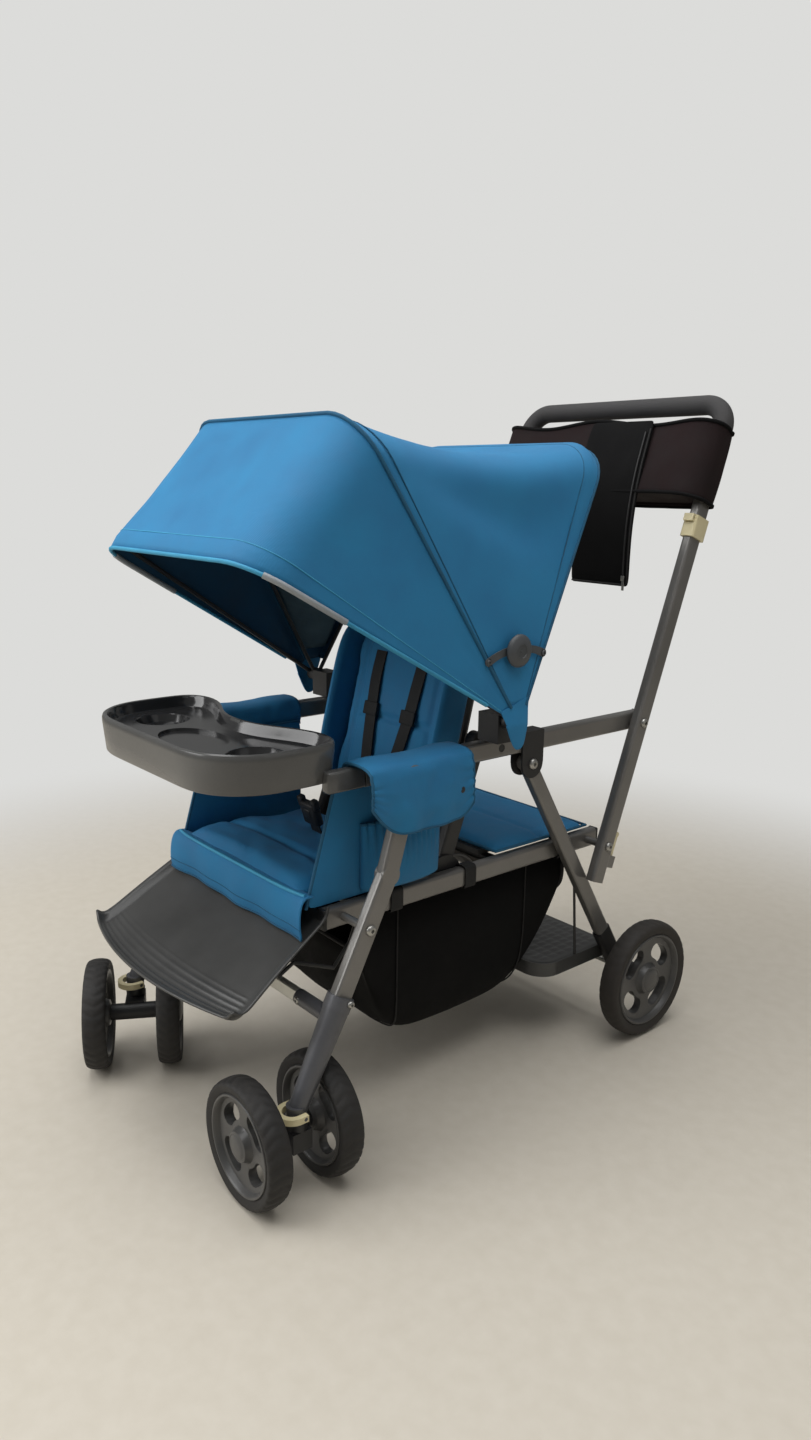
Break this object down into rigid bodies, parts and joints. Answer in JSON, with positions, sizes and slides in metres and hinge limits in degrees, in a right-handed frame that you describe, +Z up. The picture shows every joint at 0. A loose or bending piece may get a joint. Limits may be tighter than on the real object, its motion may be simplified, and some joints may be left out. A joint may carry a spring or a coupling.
{
  "type": "tandem stroller",
  "caption": "Tandem stroller with a canopied front seat, snack tray, rear bench and standing platform on a folding tube frame with swivel casters and a parent organizer.",
  "frame": {"origin": "on the floor, in the middle plane of the frame, below the seat", "axes": "+Z up, the child in front faces -Y, the stroller's left side is +X"},
  "size_m": [0.6095, 1.0242, 1.0862],
  "materials": {
    "frame_paint": "satin bronze-grey paint",
    "dark_tube": "dark grey paint",
    "black_plastic": "moulded black",
    "board": "covered board",
    "seat_cloth": "woven blue padding",
    "footrest_plastic": "moulded dark grey",
    "platform_plastic": "textured dark grey",
    "basket_cloth": "black woven cloth",
    "webbing": "black webbing",
    "foam": "dark grey closed-cell foam",
    "organizer_cloth": "dark padded cloth",
    "pouch_cloth": "black cloth",
    "cream_plastic": "moulded cream",
    "casting": "satin grey",
    "crossbar_metal": "pale satin",
    "tyre": "moulded tread",
    "rim": "moulded dark grey",
    "tray_plastic": "dark gloss",
    "bow_wire": "dark grey wire",
    "canopy_cloth": "woven blue cloth",
    "stay_plastic": "moulded grey"
  },
  "bodies": {
    "seat_frame": {"seat_rails": "frame_paint", "seat_cross_tubes": "dark_tube", "pivot_housings": "black_plastic", "seat_boards": "board", "seat_cushion": "seat_cloth", "calf_flap": "seat_cloth", "bench_pad": "seat_cloth", "footrest": "footrest_plastic", "footrest_wires": "dark_tube", "basket": "basket_cloth", "buckle": "black_plastic", "seat_sides": "seat_cloth"},
    "backrest": {"backrest_frame": "dark_tube", "backrest_cushion": "seat_cloth", "harness": "webbing", "recline_brackets": "black_plastic"},
    "handle": {"handle_tubes": "frame_paint", "grip_foam": "foam", "organizer": "organizer_cloth", "organizer_pouch": "pouch_cloth", "hook_clips": "cream_plastic"},
    "latch_left": {"latch_lever_left": "cream_plastic"},
    "latch_right": {"latch_lever_right": "cream_plastic"},
    "front_legs": {"front_leg_tubes": "frame_paint", "leg_castings": "casting", "front_crossbar": "crossbar_metal"},
    "caster_left": {"caster_fork_left": "black_plastic"},
    "caster_right": {"caster_fork_right": "black_plastic"},
    "lock_left": {"swivel_lock_left": "cream_plastic"},
    "lock_right": {"swivel_lock_right": "cream_plastic"},
    "left_front_wheel": {"left_front_tyre": "tyre", "left_front_rim": "rim"},
    "left_rear_wheel": {"left_rear_tyre": "tyre", "left_rear_rim": "rim"},
    "right_front_wheel": {"right_front_tyre": "tyre", "right_front_rim": "rim"},
    "right_rear_wheel": {"right_rear_tyre": "tyre", "right_rear_rim": "rim"},
    "rear_wheel_left": {"rear_tyre_left": "tyre", "rear_rim_left": "rim"},
    "rear_wheel_right": {"rear_tyre_right": "tyre", "rear_rim_right": "rim"},
    "rear_legs": {"rear_leg_tubes": "frame_paint", "rear_brackets": "black_plastic", "rear_axle": "crossbar_metal", "standing_platform": "platform_plastic", "platform_braces": "dark_tube"},
    "arm_rails": {"arm_rail_tubes": "frame_paint", "hinge_blocks": "black_plastic", "canopy_mounts": "black_plastic", "armrest_covers": "seat_cloth"},
    "arm_posts": {"arm_posts": "dark_tube"},
    "tray": {"tray": "tray_plastic"},
    "canopy_rear": {"canopy_rear_bow": "bow_wire", "canopy_rear_panel": "canopy_cloth"},
    "canopy_mid": {"canopy_mid_bow": "bow_wire", "canopy_visor": "canopy_cloth"},
    "canopy_front": {"canopy_front_bow": "bow_wire"},
    "stay_rear": {"stay_arms_rear": "stay_plastic"},
    "stay_front": {"stay_arms_front": "stay_plastic"}
  },
  "joints": [
    {"name": "frame_fold", "type": "hinge", "parent": "seat_frame", "child": "handle", "pos_m": [0, 0.228, 0.352], "axis": [1, 0, 0], "range_deg": [0, 65], "deforming": ["basket", "seat_sides", "armrest_covers", "canopy_rear_panel", "canopy_visor"]},
    {"name": "legs_fold", "type": "hinge", "parent": "seat_frame", "child": "front_legs", "pos_m": [0, -0.284, 0.352], "axis": [1, 0, 0], "range_deg": [0, 65]},
    {"name": "posts_fold", "type": "hinge", "parent": "seat_frame", "child": "arm_posts", "pos_m": [0, -0.082, 0.352], "axis": [1, 0, 0], "range_deg": [0, 65]},
    {"name": "rails_fold", "type": "hinge", "parent": "front_legs", "child": "arm_rails", "pos_m": [0, -0.211, 0.552], "axis": [1, 0, 0], "range_deg": [-65, 0]},
    {"name": "rear_legs_fold", "type": "hinge", "parent": "arm_rails", "child": "rear_legs", "pos_m": [0, 0.056, 0.518], "axis": [1, 0, 0], "range_deg": [0, 30.4]},
    {"name": "recline", "type": "hinge", "parent": "seat_frame", "child": "backrest", "pos_m": [0, -0.057, 0.385], "axis": [1, 0, 0], "range_deg": [-30, 45]},
    {"name": "canopy_fold", "type": "hinge", "parent": "arm_rails", "child": "canopy_rear", "pos_m": [0, -0.027, 0.6], "axis": [1, 0, 0], "range_deg": [0, 66.8]},
    {"name": "canopy_gather", "type": "hinge", "parent": "canopy_rear", "child": "canopy_mid", "pos_m": [0, -0.027, 0.6], "axis": [1, 0, 0], "range_deg": [-46.5, 0]},
    {"name": "visor_fold", "type": "hinge", "parent": "canopy_mid", "child": "canopy_front", "pos_m": [0, -0.027, 0.6], "axis": [1, 0, 0], "range_deg": [-24, 0]},
    {"name": "stay_rear_fold", "type": "hinge", "parent": "canopy_rear", "child": "stay_rear", "pos_m": [0, 0.02294, 0.69801], "axis": [1, 0, 0], "range_deg": [-85.6, 0]},
    {"name": "stay_front_fold", "type": "hinge", "parent": "canopy_mid", "child": "stay_front", "pos_m": [0, -0.08447, 0.69379], "axis": [1, 0, 0], "range_deg": [0, 85.6]},
    {"name": "tray_slide", "type": "slide", "parent": "arm_rails", "child": "tray", "axis": [0, 1, 0], "range_m": [-0.1, 0]},
    {"name": "latch_left_press", "type": "hinge", "parent": "handle", "child": "latch_left", "pos_m": [0.221, 0.2395, 0.3223], "axis": [1, 0, 0], "range_deg": [-25, 0], "stiffness_Nm_per_rad": 0.05, "springref_deg": 8.59},
    {"name": "latch_right_press", "type": "hinge", "parent": "handle", "child": "latch_right", "pos_m": [-0.221, 0.2395, 0.3223], "axis": [1, 0, 0], "range_deg": [-25, 0], "stiffness_Nm_per_rad": 0.05, "springref_deg": 8.59},
    {"name": "caster_left_swivel", "type": "hinge", "parent": "front_legs", "child": "caster_left", "pos_m": [0.235, -0.399, 0.1], "axis": [0, 0, 1], "continuous": true},
    {"name": "caster_right_swivel", "type": "hinge", "parent": "front_legs", "child": "caster_right", "pos_m": [-0.235, -0.399, 0.1], "axis": [0, 0, 1], "continuous": true},
    {"name": "lock_left_flip", "type": "hinge", "parent": "front_legs", "child": "lock_left", "pos_m": [0.235, -0.399, 0.125], "axis": [1, 0, 0], "range_deg": [-25, 0]},
    {"name": "lock_right_flip", "type": "hinge", "parent": "front_legs", "child": "lock_right", "pos_m": [-0.235, -0.399, 0.125], "axis": [1, 0, 0], "range_deg": [-25, 0]},
    {"name": "left_front_spin", "type": "hinge", "parent": "caster_left", "child": "left_front_wheel", "pos_m": [0.20403, -0.45447, 0.087], "axis": [-0.0175, -0.9998, 0], "continuous": true},
    {"name": "left_rear_spin", "type": "hinge", "parent": "caster_left", "child": "left_rear_wheel", "pos_m": [0.20598, -0.34248, 0.087], "axis": [-0.0175, -0.9998, 0], "continuous": true},
    {"name": "right_front_spin", "type": "hinge", "parent": "caster_right", "child": "right_front_wheel", "pos_m": [-0.23702, -0.4625, 0.087], "axis": [0.5, 0.866, 0], "continuous": true},
    {"name": "right_rear_spin", "type": "hinge", "parent": "caster_right", "child": "right_rear_wheel", "pos_m": [-0.18102, -0.3655, 0.087], "axis": [0.5, 0.866, 0], "continuous": true},
    {"name": "rear_left_spin", "type": "hinge", "parent": "rear_legs", "child": "rear_wheel_left", "pos_m": [0.255, 0.313, 0.1016], "axis": [1, 0, 0], "continuous": true},
    {"name": "rear_right_spin", "type": "hinge", "parent": "rear_legs", "child": "rear_wheel_right", "pos_m": [-0.255, 0.313, 0.1016], "axis": [1, 0, 0], "continuous": true}
  ],
  "couplings": [
    {"joint": "legs_fold", "follows": "frame_fold", "ratio": 1},
    {"joint": "posts_fold", "follows": "frame_fold", "ratio": 1},
    {"joint": "rails_fold", "follows": "frame_fold", "ratio": -1},
    {"joint": "rear_legs_fold", "follows": "frame_fold", "ratio": 0.4667},
    {"joint": "canopy_fold", "follows": "frame_fold", "ratio": 1.0267},
    {"joint": "canopy_gather", "follows": "frame_fold", "ratio": -0.7133},
    {"joint": "stay_rear_fold", "follows": "frame_fold", "ratio": -1.316},
    {"joint": "stay_front_fold", "follows": "frame_fold", "ratio": 1.316}
  ]
}
